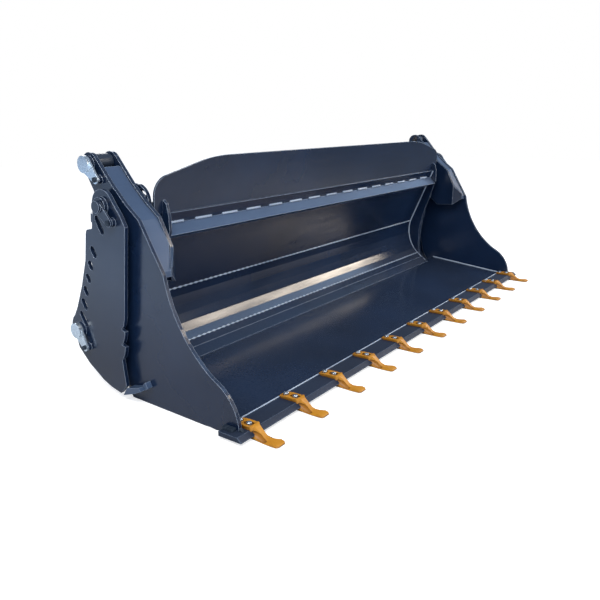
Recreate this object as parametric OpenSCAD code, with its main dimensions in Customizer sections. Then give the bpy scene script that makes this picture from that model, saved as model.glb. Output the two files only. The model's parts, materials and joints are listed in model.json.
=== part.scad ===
// Four in one loader bucket: a rear moldboard and a front jaw that opens on two end pins.
// X runs across the bucket, the teeth point to -Y, and Z is up from the ground.
// The outlines are drawn with the jaw's floor level, then the whole bucket is stood on its heel and teeth.

/* [Bucket] */
// Width over the outer faces of the jaw's side plates
bucket_w = 2700; // [2200:20:3000]
// Depth that the side outlines' shares are taken of, from the toe towards the back
profile_depth = 800; // [760:5:860]
// Height that the side outlines' shares are taken of, from the toe upwards
profile_height = 800; // [760:5:860]
// Depth of the ground below the drawing's level at the heel
heel_depth = 88; // [86:1:96]

/* [Plates] */
// Thickness of the jaw's side plates and of the moldboard's outer side plates
side_t = 15; // [12:1:18]
// Gap between a jaw side plate and the outer side plate beside it
side_gap = 23; // [18:1:28]
// Width of the jaw's arm box, over both of its plates
arm_box_w = 105; // [100:1:115]
// Gap between the arm box and the moldboard's pivot plate
pivot_gap = 10; // [6:1:14]
// Distance from a jaw side plate's outer face to the moldboard end plate's inner face
end_inset = 185; // [175:1:270]
// Thickness of the end plates and of the side boxes' skins
end_t = 12; // [10:1:15]
// Thickness of the moldboard's sheet, guard, beam, arm covers and underskin
sheet_t = 8; // [6:1:10]
// Thickness of the jaw's floor
floor_t = 12; // [10:1:14]
// Thickness of the hanger ears and of the back ribs
ear_t = 25; // [20:1:30]

/* [Moldboard] */
// Radius that the folds of the moldboard's lower curve follow
curve_r = 215; // [200:5:260]
// Number of flat facets in the lower curve
curve_facets = 7; // [5:1:10]
// Height of the spill guard's top edge above the toe
guard_top = 819; // [790:1:860]
// Radius of the guard's upper corners
guard_corner_r = 78; // [50:2:90]
// Length of the guard's flange behind the sheet
guard_lap = 40; // [30:1:48]
// Outside of the upper cross tube
upper_tube_w = 90; // [80:5:100]
// Outside of the lower cross tube
lower_tube_w = 120; // [100:5:130]
// Wall of both cross tubes
tube_wall = 8; // [6:1:10]

/* [Cutting edges and teeth] */
// Thickness of the jaw's cutting edge
edge_t = 18; // [16:1:20]
// Depth of the cutting edge from its rear to its nose
edge_w = 104; // [98:1:110]
// Lean of the cutting edge, which rises towards its nose
edge_tilt = 7; // [6:0.5:8]
// Number of teeth
tooth_count = 11; // [11:1:11]
// Distance from a side plate's outer face to the end tooth's centre
tooth_inset = 49; // [45:1:80]
// Width of a tooth's strap
tooth_w = 49; // [44:1:54]
// Width of a tooth's flared tip
tip_w = 52; // [46:1:58]
// Length of a tooth
tooth_l = 206; // [200:1:212]
// Height of a tooth from its underside to its crest
tooth_h = 46; // [45:1:48]
// Height of a tooth's crest above the cutting edge
crest = 15; // [14:1:16]
// Shank diameter of the tooth bolts
tooth_bolt_d = 12; // [10:1:13]

/* [Pins] */
// Diameter of the main pivot pins
pivot_pin_d = 40; // [36:1:46]
// Diameter of the lever pins at the rod eyes
lever_pin_d = 30; // [26:1:31]
// Diameter of the base pins at the barrels
base_pin_d = 35; // [30:1:40]
// Diameter of the lever and base pins' heads
pin_head_d = 62; // [56:1:66]
// Diameter of the main pivot pins' heads
pivot_head_d = 44; // [42:1:50]
// Thickness of a pin's keeper flag
flag_t = 8; // [6:1:9]
// Height of the collars and bosses below the keeper flags
collar_h = 14; // [10:1:15]
// Length of a keeper flag, from the pin to its bolt
flag_l = 76; // [72:1:82]

/* [Cylinders] */
// Outside diameter of the barrels
barrel_d = 68; // [60:1:72]
// Length of a barrel from the base pin to its gland's face
barrel_l = 468; // [450:1:476]
// Diameter of the rods
rod_d = 36; // [30:1:40]
// Outside diameter of the rod eyes
rod_eye_d = 58; // [58:1:64]
// Outside diameter of the barrels' base eyes
base_eye_d = 84; // [76:1:90]
// Play round the lever pin inside the rod eye
link_play = 7; // [7:0.1:7.4]

/* [Hangers] */
// Distance from the bucket's middle to a hanger's middle
hanger_x = 420; // [360:10:600]
// Clear gap between a hanger's two ears
hanger_gap = 110; // [90:5:140]
// Diameter of the hanger pin bores
hanger_bore = 50; // [40:1:60]

/* [Hydraulics] */
// Outside diameter of the hoses
hose_d = 18; // [14:1:20]
// Outside diameter of the steel pipes
pipe_d = 16; // [12:1:18]

/* [Clearances] */
// Gap between faces that slide on each other
slide_gap = 0.3; // [0.2:0.1:0.5]
// Radial clearance of a pin that turns in its bore
pin_clear = 0.05; // [0.03:0.01:0.08]

/* [Hidden] */
$fn = 48;
overrun = 2;
half_w = bucket_w / 2;
side_names = ["left", "right"];

paint = "#2f3b49";
paint_light = "#4a5869";
cast = "#d99a27";
zinc = "#b4c3c6";
steel = "#7f8790";
hose_black = "#15171a";

// Plain geometry
function unit(v) = v / norm(v);
function left_of(a, b) = let (d = unit(b - a)) [-d[1], d[0]];
function turned(v, a) = [v[0] * cos(a) - v[1] * sin(a), v[0] * sin(a) + v[1] * cos(a)];
function angle_of(v) = atan2(v[1], v[0]);
function at_share(s) = [s[0] * profile_depth, s[1] * profile_height];
function outline(shares) = [for (s = shares) at_share(s)];
function reversed(p) = [for (i = [len(p) - 1 : -1 : 0]) p[i]];
function mixed(a, b, t) = a * (1 - t) + b * t;

// A line's point moved sideways by t, with a mitre where the line bends
function mitre(p, i, t) =
    let (a = i > 0 ? left_of(p[i - 1], p[i]) : left_of(p[i], p[i + 1]),
         b = i < len(p) - 1 ? left_of(p[i], p[i + 1]) : a,
         m = a + b)
    p[i] + m * t * 2 / (m * m);
function beside(p, t) = [for (i = [0 : len(p) - 1]) mitre(p, i, t)];
function ribbon(p, t) = concat(p, reversed(beside(p, t)));

// n + 1 points on the arc from a to b with radius r, which bulges to the right of that way
function arc_between(a, b, r, n) =
    let (mid = (a + b) / 2,
         c = mid + left_of(a, b) * sqrt(r * r - norm(b - a) * norm(b - a) / 4),
         from = angle_of(a - c),
         swing = 2 * asin(norm(b - a) / (2 * r)))
    [for (i = [0 : n]) c + r * [cos(from + swing * i / n), sin(from + swing * i / n)]];

// n + 1 points on the curve from a to c that passes b half way
function bow(a, b, c, n) =
    let (k = 2 * b - (a + c) / 2)
    [for (i = [0 : n]) let (t = i / n) a * (1 - t) * (1 - t) + k * 2 * t * (1 - t) + c * t * t];

// The outline of a slot from a to b with round ends of radius r
function slot_line(a, b, r, n) = let (turn = angle_of(b - a)) concat(
    [for (i = [0 : n]) b + r * [cos(turn - 90 + 180 * i / n), sin(turn - 90 + 180 * i / n)]],
    [for (i = [0 : n]) a + r * [cos(turn + 90 + 180 * i / n), sin(turn + 90 + 180 * i / n)]]);

// A plate in the side view, from d inside the left side plate's outer face, t thick
module plate(d, t) {
    translate([d - half_w, 0, 0]) rotate([90, 0, 90]) linear_extrude(t) children();
}
// A bar in the side view that is centred across the bucket
module across(w) {
    translate([-w / 2, 0, 0]) rotate([90, 0, 90]) linear_extrude(w) children();
}
module rod_x(d, p, r, l) {
    translate([d - half_w, p[0], p[1]]) rotate([0, 90, 0]) cylinder(r = r, h = l);
}
module hex_x(d, p, r, l) {
    translate([d - half_w, p[0], p[1]]) rotate([0, 90, 0]) cylinder(r = r, h = l, $fn = 6);
}
// A teardrop in the side view from a to b
module teardrop(a, b, ra, rb) {
    lean = acos((ra - rb) / norm(b - a));
    way = unit(b - a);
    translate(a) circle(ra);
    translate(b) circle(rb);
    polygon([a + ra * turned(way, lean), b + rb * turned(way, lean),
             b + rb * turned(way, -lean), a + ra * turned(way, -lean)]);
}

// Pins and the stance
pivot_at = at_share([0.8225, 0.819]);
lever_at = at_share([0.97, 0.9825]);
base_at = at_share([1.0325, 0.16]);
edge_at = at_share([0.0775, -0.015625]);
function edge_point(p) = edge_at + turned(p, -edge_tilt);
floor_z = edge_at[1];
tooth_back = -2;
heel_of_tooth_share = 0.374;
toe_contact = edge_point([tooth_back - heel_of_tooth_share * tooth_l, crest - tooth_h]);
heel_contact = [at_share([0.625, 0])[0], -heel_depth];
stance = atan2(toe_contact[1] - heel_contact[1], heel_contact[0] - toe_contact[0]);
function ground(y) = toe_contact[1] - (y - toe_contact[0]) * tan(stance);
function stood(p) = turned(p, stance);

// The jaw's side view
jaw_front = outline([[0.931, 1.019], [0.816, 0.911], [0.72, 0.836], [0.635, 0.784],
                     [0.559, 0.681], [0.476, 0.571]]);
jaw_scoop_end = at_share([0.175, 0.185]);
jaw_hump = at_share([0.134, 0.1675]);
jaw_scoop_r = at_share([0.625, 0])[0];
jaw_toe_r = at_share([0.23125, 0])[0];
jaw_back = outline([[0.8, 0.025], [0.8625, 0.225], [0.894, 0.4125], [0.9025, 0.65], [0.89, 0.75],
                    [0.949, 0.8675], [1.016, 0.959]]);
skirt_lift = 2;
skirt_shares = [[0.13, 1], [0.172, 2], [0.205, 1], [0.44, 1], [0.625, 1], [0.7, 1]];
jaw_skirt = [for (s = skirt_shares) let (y = s[0] * profile_depth) [y, ground(y) + s[1] * skirt_lift]];
jaw_curve_steps = 14;
lever_tip_r = 42;
toe_back = at_share([-0.078125, 0])[0];
toe = edge_point([toe_back, 0]);
jaw_outline = concat(
    [for (i = [0 : 4]) jaw_front[i]],
    reversed(arc_between(jaw_scoop_end, jaw_front[5], jaw_scoop_r, jaw_curve_steps)),
    arc_between(jaw_hump, toe, jaw_toe_r, jaw_curve_steps),
    [edge_point([0, 0]), edge_point([0, -edge_t])], jaw_skirt, jaw_back);

// The moldboard's side view
floor_rear = at_share([0.69125, 0])[0];
rest_z = floor_z + slide_gap;
back_top = at_share([0.71375, 0.77125]);
back_fold = at_share([0.86, 0.315]);
back_foot = at_share([0.705, 0.0225]);
back_line = concat([back_top], reversed(arc_between(back_foot, back_fold, curve_r, curve_facets)));
back_outer = beside(back_line, sheet_t);
back_way = unit(back_fold - back_top);
back_out = [-back_way[1], back_way[0]];
function behind(s, off) = back_top + back_way * s + back_out * (sheet_t + off);

// Solids in front of the sheet's back face, which the parts behind it are cut by
front_zone = concat(back_outer, [[back_foot[0], heel_contact[1] * 2], [toe_contact[0], heel_contact[1] * 2],
                    [toe_contact[0], guard_top], [back_outer[0][0], guard_top]]);
back_zone = concat(back_line, [[base_at[0], back_foot[1]], [base_at[0], back_top[1]]]);
upper_tube_s = 50;
lower_tube_gap = 1;
lower_tube_z = 70;
lower_tube_y = max([for (p = back_outer) p[0]]) + lower_tube_gap;
module upper_tube_2d(inset) {
    w = upper_tube_w - 2 * inset;
    polygon([for (c = [[0, 0], [1, 0], [1, 1], [0, 1]])
        behind(upper_tube_s + inset + c[0] * w, inset + c[1] * w)]);
}
module lower_tube_2d(inset) {
    translate([lower_tube_y + inset, lower_tube_z + inset]) square(lower_tube_w - 2 * inset);
}
inner_w = bucket_w - 2 * end_inset;

module placed() {
    translate([0, -middle_y, -stood(toe_contact)[1]]) rotate([stance, 0, 0]) children();
}
module mirrored() {
    mirror([1, 0, 0]) children();
}

// Moldboard: sheet, guard, beam and rear edge
module back_sheet() placed() color(paint) across(inner_w) polygon(ribbon(back_line, sheet_t));

guard_end_inset = 132;
guard_shoulder_inset = 440;
guard_shoulder_drop = 57;
guard_corner_turn = 76;
guard_corner_steps = 8;
guard_ease = 75;
guard_line = [[back_outer[0][0], guard_top], back_outer[0], back_outer[0] + back_way * guard_lap];
guard_half = half_w - guard_end_inset;
guard_corner = [guard_half - guard_corner_r, guard_top - guard_shoulder_drop - guard_corner_r];
guard_slope = guard_corner + guard_corner_r * [cos(guard_corner_turn), sin(guard_corner_turn)];
guard_shoulder = [half_w - guard_shoulder_inset, guard_top];
ease_start = guard_shoulder + unit(guard_slope - guard_shoulder) * guard_ease;
ease_end = guard_shoulder - [guard_ease, 0];
guard_right = concat(
    [[guard_half, back_outer[0][1] - guard_lap]],
    [for (i = [0 : guard_corner_steps]) let (a = guard_corner_turn * i / guard_corner_steps)
        guard_corner + guard_corner_r * [cos(a), sin(a)]],
    bow(ease_start, (ease_start + ease_end + 2 * guard_shoulder) / 4, ease_end, guard_corner_steps));
module spill_guard() placed() color(paint) difference() {
    intersection() {
        across(bucket_w) polygon(ribbon(guard_line, sheet_t));
        translate([0, base_at[0], 0]) rotate([90, 0, 0]) linear_extrude(base_at[0])
            polygon(concat(guard_right, [for (p = reversed(guard_right)) [-p[0], p[1]]]));
    }
    end_plate();
    mirrored() end_plate();
}

beam_line = [at_share([0.732, 0.7165]), at_share([0.681, 0.669]), at_share([0.76, 0.631])];
module angle_beam() placed() color(paint_light) across(inner_w) difference() {
    polygon(ribbon(beam_line, sheet_t));
    polygon(back_zone);
}

rear_tip = at_share([0.6475, 0])[0];
rear_nose = 4;
rear_edge_back = at_share([0.74, 0])[0];
module rear_cutting_edge() placed() color(paint) across(inner_w) polygon([
    [rear_tip, rest_z], [rear_tip, rest_z + rear_nose], back_foot, back_outer[len(back_outer) - 1],
    [rear_edge_back, rest_z]]);

module upper_tube() placed() color(paint) across(inner_w) difference() {
    upper_tube_2d(0);
    upper_tube_2d(tube_wall);
}
module lower_tube() placed() color(paint) across(inner_w) difference() {
    lower_tube_2d(0);
    lower_tube_2d(tube_wall);
}

rib_places_share = [0.14, 0.62, 0.86];
rib_shape = outline([[0.79, 0.64], [0.89, 0.65], [0.93, 0.5], [0.97, 0.35], [1.0, 0.2], [0.85, 0.2]]);
module behind_sheet_only() {
    difference() {
        children();
        polygon(front_zone);
        upper_tube_2d(0);
        lower_tube_2d(0);
    }
}
module back_ribs() placed() color(paint) for (side = [-1, 1], s = rib_places_share)
    translate([side * s * inner_w / 2, 0, 0]) across(end_t) behind_sheet_only() polygon(rib_shape);

// Hangers for the carrier
hanger_upper = at_share([1.0625, 0.675]);
hanger_lower = at_share([1.125, 0.15]);
hanger_boss_r = 55;
hanger_shape = outline([[0.78, 0.6], [0.825, 0.745], [0.875, 0.775], [1.04, 0.75], [1.13, 0.66],
                        [1.1, 0.45], [1.19, 0.19], [1.14, 0.085], [0.95, 0.045], [0.875, 0.1]]);
module hanger_ear() {
    difference() {
        union() {
            polygon(hanger_shape);
            translate(hanger_upper) circle(hanger_boss_r);
            translate(hanger_lower) circle(hanger_boss_r);
        }
        for (p = [hanger_upper, hanger_lower]) translate(p) circle(hanger_bore / 2);
    }
}
module hanger(side) for (e = [-1, 1])
    translate([side * hanger_x + e * (hanger_gap + ear_t) / 2, 0, 0])
        across(ear_t) behind_sheet_only() hanger_ear();
module hanger_left() placed() color(paint) hanger(-1);
module hanger_right() placed() color(paint) hanger(1);

// Moldboard: the ends
ear_r = 60;
ear_start_turn = 130;
ear_front = at_share([0.7025, 0.801]);
outer_corner = at_share([0.6675, 0.751]);
grip_top = at_share([0.6875, 0.3275]);
grip_count = 3;
grip_pitch = 62;
grip_depth = 22;
grip_steps = 4;
grip_line = [for (k = [0 : grip_count - 1])
    for (p = bow(grip_top - [0, grip_pitch * k], grip_top + [grip_depth / 3, -grip_pitch * (k + 0.6)],
                 grip_top + [grip_depth, -grip_pitch * (k + 0.94)], grip_steps)) p];
outer_foot = outline([[0.69, -0.036], [0.7325, -0.0875], [0.804, -0.081], [0.8675, -0.064],
                      [0.979, -0.011], [1.06, 0.05]]);
base_ring_r = 64;
outer_back = outline([[1.11, 0.175], [1.059, 0.27], [1.01, 0.399], [0.971, 0.535], [0.9575, 0.669],
                      [0.949, 0.6875], [0.908, 0.7], [0.895, 0.789]]);
ear_start = pivot_at + (ear_r - overrun) * [cos(ear_start_turn), sin(ear_start_turn)];
outer_outline = concat([ear_start, ear_front, outer_corner], grip_line, outer_foot, outer_back);
slot_w = 25;
slot_steps = 8;
slot_shares = [[0.868, 0.753, 0.832, 0.702], [0.913, 0.601, 0.894, 0.576], [0.937, 0.526, 0.926, 0.509],
               [0.96, 0.455, 0.949, 0.44], [0.984, 0.386, 0.973, 0.368],
               [1.006, 0.316, 0.987, 0.289], [1.027, 0.243, 0.993, 0.201]];
keeper_bolt_d = 12;
boss_r = 16;
keeper_turn = -142;
base_keeper_turn = -128;
function keeper_at(pin, turn) = pin + flag_l * [cos(turn), sin(turn)];
pivot_keeper = keeper_at(pivot_at, keeper_turn);
lever_keeper = keeper_at(lever_at, keeper_turn);
base_keeper = keeper_at(base_at, base_keeper_turn);
collar_wall = 14;
keeper_grip = 12;
outer_d = -side_gap - side_t;

module collar_and_boss(d, pin, pin_d, keeper) {
    rod_x(d - collar_h, pin, pin_d / 2 + collar_wall, collar_h);
    rod_x(d - collar_h, keeper, boss_r, collar_h);
}
module bores(d, l, pin, pin_d, keeper) {
    rod_x(d - collar_h - overrun, pin, pin_d / 2 + pin_clear, l + collar_h + 2 * overrun);
    rod_x(d - collar_h - overrun, keeper, keeper_bolt_d / 2 + pin_clear, keeper_grip + collar_h + overrun);
}
module outer_side_plate() difference() {
    union() {
        plate(outer_d, side_t) difference() {
            union() {
                polygon(outer_outline);
                translate(pivot_at) circle(ear_r);
                translate(base_at) circle(base_ring_r);
            }
            for (s = slot_shares)
                polygon(slot_line(at_share([s[0], s[1]]), at_share([s[2], s[3]]), slot_w / 2, slot_steps));
        }
        collar_and_boss(outer_d, pivot_at, pivot_pin_d, pivot_keeper);
        collar_and_boss(outer_d, base_at, base_pin_d, base_keeper);
    }
    bores(outer_d, side_t, pivot_at, pivot_pin_d, pivot_keeper);
    bores(outer_d, side_t, base_at, base_pin_d, base_keeper);
}
module outer_side_plate_left() placed() color(paint) outer_side_plate();
module outer_side_plate_right() placed() mirrored() color(paint) outer_side_plate();

end_front = outline([[0.77, 0.83], [0.7225, 0.835], [0.70125, 0.819], [0.684, 0.77], [0.676, 0.694],
                     [0.691, 0.6375], [0.7075, 0.555], [0.735, 0.456], [0.755, 0.3575], [0.765, 0.2575],
                     [0.754, 0.134], [0.7375, 0.045]]);
end_back = outline([[0.8, -0.025], [0.875, -0.05], [0.9875, 0], [1.0625, 0.075], [1.0625, 0.2125],
                    [1.0, 0.3], [0.931, 0.525], [0.894, 0.7], [0.8625, 0.75]]);
rear_blade = [[rear_tip, rest_z + rear_nose], [rear_tip, rest_z], [rear_edge_back, rest_z]];
end_outline = concat(end_front, rear_blade, end_back);
module end_plate() plate(end_inset - end_t, end_t) polygon(end_outline);
module end_plate_left() placed() color(paint) end_plate();
module end_plate_right() placed() mirrored() color(paint) end_plate();

pivot_d = arm_box_w + pivot_gap;
pivot_ear_r = 68;
lift_slot = outline([[0.765, 0.863], [0.79, 0.872]]);
lift_slot_w = 18;
pivot_front = outline([[0.75, 0.8], [0.75, 0.625], [0.765, 0.4125], [0.781, 0.25], [0.775, 0.1],
                       [0.75, 0.005]]);
module pivot_plate() plate(pivot_d, side_t) difference() {
    union() {
        polygon(concat(pivot_front, [for (i = [2 : 5]) outer_foot[i]], outer_back));
        translate(pivot_at) circle(pivot_ear_r);
        translate(base_at) circle(base_ring_r);
    }
    translate(pivot_at) circle(pivot_pin_d / 2 + pin_clear);
    translate(base_at) circle(base_pin_d / 2 + pin_clear);
    polygon(slot_line(lift_slot[0], lift_slot[1], lift_slot_w / 2, slot_steps));
}
module pivot_plate_left() placed() color(paint) pivot_plate();
module pivot_plate_right() placed() mirrored() color(paint) pivot_plate();

box_line = outline([[0.7575, 0.005], [0.7825, 0.1], [0.789, 0.25], [0.7725, 0.4125], [0.7575, 0.625],
                    [0.7575, 0.79], [0.8825, 0.7], [0.9225, 0.525], [0.99, 0.3], [1.0475, 0.206],
                    [1.0475, 0.0825], [0.981, 0.0125], [0.875, -0.0375], [0.79, -0.015]]);
web_line = outline([[0.919, 0.65], [0.919, 0.225]]);
link_line = outline([[0.8625, -0.045], [0.975, -0.0025]]);
module side_box() {
    plate(pivot_d + side_t, end_inset - end_t - pivot_d - side_t) polygon(ribbon(box_line, -end_t));
    plate(-side_gap, side_gap + pivot_d) polygon(ribbon(web_line, end_t));
    plate(-side_gap, side_gap + pivot_d) polygon(ribbon(link_line, end_t));
}
module side_box_left() placed() color(paint) side_box();
module side_box_right() placed() mirrored() color(paint) side_box();

// Pins with their keeper flags
head_t = 8;
tail = 6;
module pin(d, pin, pin_d, head_d, keeper, end_d) difference() {
    union() {
        rod_x(d - collar_h - flag_t - head_t, pin, pin_d / 2, end_d - d + collar_h + flag_t + head_t);
        rod_x(d - collar_h - flag_t - head_t, pin, head_d / 2, head_t);
        plate(d - collar_h - flag_t, flag_t) teardrop(pin, keeper, head_d / 2, boss_r);
    }
    rod_x(d - collar_h - flag_t - overrun, keeper, keeper_bolt_d / 2 + pin_clear, flag_t + 2 * overrun);
}
bolt_head_r = 10;
bolt_head_t = 7;
module keeper_bolt(d, keeper) {
    rod_x(d - collar_h - flag_t, keeper, keeper_bolt_d / 2, flag_t + collar_h + keeper_grip);
    hex_x(d - collar_h - flag_t - bolt_head_t, keeper, bolt_head_r, bolt_head_t);
}
module pivot_pin() pin(outer_d, pivot_at, pivot_pin_d, pivot_head_d, pivot_keeper, pivot_d + side_t);
module base_pin() pin(outer_d, base_at, base_pin_d, pin_head_d, base_keeper, pivot_d + side_t);
module lever_pin() pin(0, lever_at, lever_pin_d, pin_head_d, lever_keeper, arm_box_w + tail);
module pivot_pin_left() placed() color(paint) pivot_pin();
module pivot_pin_right() placed() mirrored() color(paint) pivot_pin();
module base_pin_left() placed() color(zinc) base_pin();
module base_pin_right() placed() mirrored() color(zinc) base_pin();
module lever_pin_left() placed() color(zinc) lever_pin();
module lever_pin_right() placed() mirrored() color(zinc) lever_pin();
module keeper_pair() {
    keeper_bolt(outer_d, pivot_keeper);
    keeper_bolt(outer_d, base_keeper);
}
module keeper_bolts() placed() color(steel) {
    keeper_pair();
    mirrored() keeper_pair();
}
module lever_keeper_bolts() placed() color(steel) {
    keeper_bolt(0, lever_keeper);
    mirrored() keeper_bolt(0, lever_keeper);
}

// Jaw: the ends
bush_wall = 12;
bush_r = pivot_pin_d / 2 + bush_wall;
module jaw_side_plate() difference() {
    union() {
        plate(0, side_t) union() {
            polygon(jaw_outline);
            translate(lever_at) circle(lever_tip_r);
        }
        collar_and_boss(0, lever_at, lever_pin_d, lever_keeper);
    }
    bores(0, side_t, lever_at, lever_pin_d, lever_keeper);
    rod_x(-overrun, pivot_at, bush_r, side_t + 2 * overrun);
}
module jaw_side_plate_left() placed() color(paint) jaw_side_plate();
module jaw_side_plate_right() placed() mirrored() color(paint) jaw_side_plate();

arm_fold = outline([[0.554, 0.661], [0.54, 0.503]]);
arm_tip = outline([[0.491, 0.594], [0.49, 0.55]]);
arm_tip_d = 56;
arm_back = outline([[0.6775, 0.4825], [0.745, 0.53], [0.735, 0.64], [0.8, 0.72], [0.89, 0.75],
                    [0.949, 0.8675], [1.016, 0.959]]);
arm_outline = concat([for (i = [0 : 3]) jaw_front[i]], arm_fold, arm_back);
fold_w = 6;
module arm_wall() hull() {
    plate(arm_box_w - side_t, side_t)
        polygon(concat(arm_fold, [arm_fold[1] + [fold_w, 0], arm_fold[0] + [fold_w, 0]]));
    plate(arm_tip_d - side_t / 2, side_t / 2)
        polygon(concat(arm_tip, [arm_tip[1] + [fold_w, 0], arm_tip[0] + [fold_w, 0]]));
}
module arm_inner_plate() {
    plate(arm_box_w - side_t, side_t) difference() {
        union() {
            polygon(arm_outline);
            translate(lever_at) circle(lever_tip_r);
        }
        translate(lever_at) circle(lever_pin_d / 2 + pin_clear);
        translate(pivot_at) circle(bush_r);
    }
    arm_wall();
}
module arm_inner_plate_left() placed() color(paint) arm_inner_plate();
module arm_inner_plate_right() placed() mirrored() color(paint) arm_inner_plate();

cover_inset = 6;
cover_start_share = 0.34;
cover_foot = at_share([0.4856, 0.5838]);
cover_line = beside(concat([jaw_front[0] + (jaw_front[1] - jaw_front[0]) * cover_start_share],
                           [for (i = [1 : 4]) jaw_front[i]], [cover_foot]), cover_inset);
cover_body = [for (i = [0 : 4]) cover_line[i]];
cover_tip_w = arm_tip_d - side_t - side_t / 2;
module arm_cover() difference() {
    union() {
        plate(side_t, arm_box_w - 2 * side_t) polygon(ribbon(cover_body, sheet_t));
        hull() {
            plate(side_t, arm_box_w - 2 * side_t)
                polygon([cover_line[4], mitre(cover_body, 4, sheet_t), mitre(cover_line, 4, sheet_t)]);
            plate(side_t, cover_tip_w)
                polygon([cover_line[5], mitre(cover_line, 5, sheet_t),
                         cover_line[5] + [sheet_t, sheet_t] / 4]);
        }
        plate(side_t, cover_tip_w)
            polygon([cover_line[5], arm_tip[1], arm_tip[1] + [sheet_t, 0], cover_line[5] + [sheet_t, 0]]);
    }
    arm_wall();
}
module arm_cover_left() placed() color(paint_light) arm_cover();
module arm_cover_right() placed() mirrored() color(paint_light) arm_cover();

module pivot_bush() difference() {
    rod_x(slide_gap - side_gap, pivot_at, bush_r, side_gap + pivot_d - 2 * slide_gap);
    rod_x(-side_gap - overrun, pivot_at, pivot_pin_d / 2 + pin_clear, side_gap + pivot_d + 2 * overrun);
}
module pivot_bush_left() placed() color(steel) pivot_bush();
module pivot_bush_right() placed() mirrored() color(steel) pivot_bush();

// Jaw: floor, edges and bottom
jaw_inner_w = bucket_w - 2 * side_t;
floor_outline = [edge_at, [floor_rear, floor_z], [floor_rear, floor_z - floor_t],
                 edge_point([0, -floor_t / cos(edge_tilt)])];
module jaw_floor() placed() color(paint) across(jaw_inner_w) polygon(floor_outline);

edge_bevel = 17;
edge_nose = 3;
edge_over = side_gap + side_t;
edge_line = [[0, 0], [edge_bevel - edge_w, 0], [-edge_w, edge_nose - edge_t], [-edge_w, -edge_t],
             [0, -edge_t]];
tooth_pitch = (bucket_w - 2 * tooth_inset) / (tooth_count - 1);
function tooth_x(i) = -half_w + tooth_inset + tooth_pitch * (i - 1);
bolt_rows = [-21, -65];
module on_edge() translate([0, edge_at[0], edge_at[1]]) rotate([-edge_tilt, 0, 0]) children();
module at_bolts() for (i = [1 : tooth_count], y = bolt_rows) translate([tooth_x(i), y, 0]) children();
module jaw_cutting_edge() placed() color(paint) on_edge() difference() {
    across(bucket_w + 2 * edge_over) polygon(edge_line);
    at_bolts() translate([0, 0, -edge_t - overrun])
        cylinder(d = tooth_bolt_d + 2 * pin_clear, h = edge_t + 2 * overrun);
}

heel_bar_t = 12;
heel_front = at_share([0.55, 0])[0];
heel_back = at_share([0.675, 0])[0];
skin_front = at_share([0.1225, 0])[0];
skin_lift = 9;
skin_line = [edge_point([0, -edge_t]), [skin_front, ground(skin_front) + skin_lift],
             [heel_front, ground(heel_front) + heel_bar_t], [heel_back, ground(heel_back) + heel_bar_t],
             [floor_rear, (ground(heel_back) - floor_t) / 2], [floor_rear, floor_z - floor_t]];
module jaw_underskin() placed() color(paint) across(jaw_inner_w) difference() {
    polygon(ribbon(skin_line, sheet_t));
    polygon(floor_outline);
}
module heel_bar() placed() color(steel) across(jaw_inner_w)
    polygon([skin_line[2], [heel_front, ground(heel_front)], [heel_back, ground(heel_back)], skin_line[3]]);

strip_w = 20;
strip_h = 11;
strip_l = 49;
lug_w = 12;
lug_l = 16;
module toe_strip() {
    translate([-strip_w - half_w, -strip_l, 0]) cube([strip_w, strip_l, strip_h]);
    translate([-half_w, toe_back - lug_l, 0]) rotate([90, 0, 90]) linear_extrude(lug_w)
        polygon([[0, 0], [lug_l, 0], [lug_l, strip_h]]);
}
module toe_strips() placed() color(steel) on_edge() {
    toe_strip();
    mirrored() toe_strip();
}

stop_shape = outline([[0.688, -0.045], [0.599, -0.011], [0.585, -0.025], [0.636, -0.056], [0.715, -0.0925]]);
stop_lug = outline([[0.573, 0.021], [0.555, -0.004], [0.573, -0.02], [0.588, 0.006]]);
module stop_bar() {
    plate(outer_d, side_gap + side_t) polygon(stop_shape);
    plate(outer_d + side_t, side_gap) polygon(stop_lug);
}
module stop_bars() placed() color(paint_light) {
    stop_bar();
    mirrored() stop_bar();
}

// Teeth and their bolts, drawn on the cutting edge with its rear upper corner at the origin
strap_end_w = 36;
strap_end_l = 16;
strap_t = 7;
rail_t = 12;
rail_start = -38;
bolt_seat_r = 13;
seat_reach = 8;
tooth_heel = tooth_back - heel_of_tooth_share * tooth_l;
// Sections of a tooth: place along it, widths at the foot and top, and depths of the underside and top
tooth_shares = [[0.374, 0.98, 0.98, 1, 0.065], [0.427, 0.985, 0.95, 1, 0], [0.485, 0.99, 0.5, 1, 0.043],
                [0.578, 1, 0.38, 1.01, 0.37], [0.66, 1.01, 0.35, 1.015, 0.663],
                [0.728, 1.01, 0.39, 1.02, 0.783], [0.806, 1.01, 0.6, 1.02, 0.815],
                [0.903, 1, 0.86, 1.02, 0.793], [0.97, 0.95, 0.84, 1.01, 0.85], [1, 0.66, 0.6, 1, 0.91]];
chip_share = 0.9;
chip_h = 5;
tooth_rings = [for (s = tooth_shares)
    let (y = tooth_back - s[0] * tooth_l, half = mixed(tooth_w, tip_w, s[0]) / 2,
         low = crest - s[3] * tooth_h, high = crest - s[4] * tooth_h)
    for (p = [[-s[1] * chip_share, low], [-s[1], mixed(low, high, chip_h / tooth_h)], [-s[2], high],
              [s[2], high], [s[1], mixed(low, high, chip_h / tooth_h)], [s[1] * chip_share, low]])
        [p[0] * half, y, p[1]]];
tooth_walls = [for (i = [0 : len(tooth_shares) - 2], k = [0 : 5])
    let (a = i * 6 + k, b = i * 6 + (k + 1) % 6) for (f = [[a, b, b + 6], [a, b + 6, a + 6]]) f];
tooth_caps = [for (k = [1 : 4])
    let (n = 6 * (len(tooth_shares) - 1)) for (f = [[0, k + 1, k], [n, n + k, n + k + 1]]) f];
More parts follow.
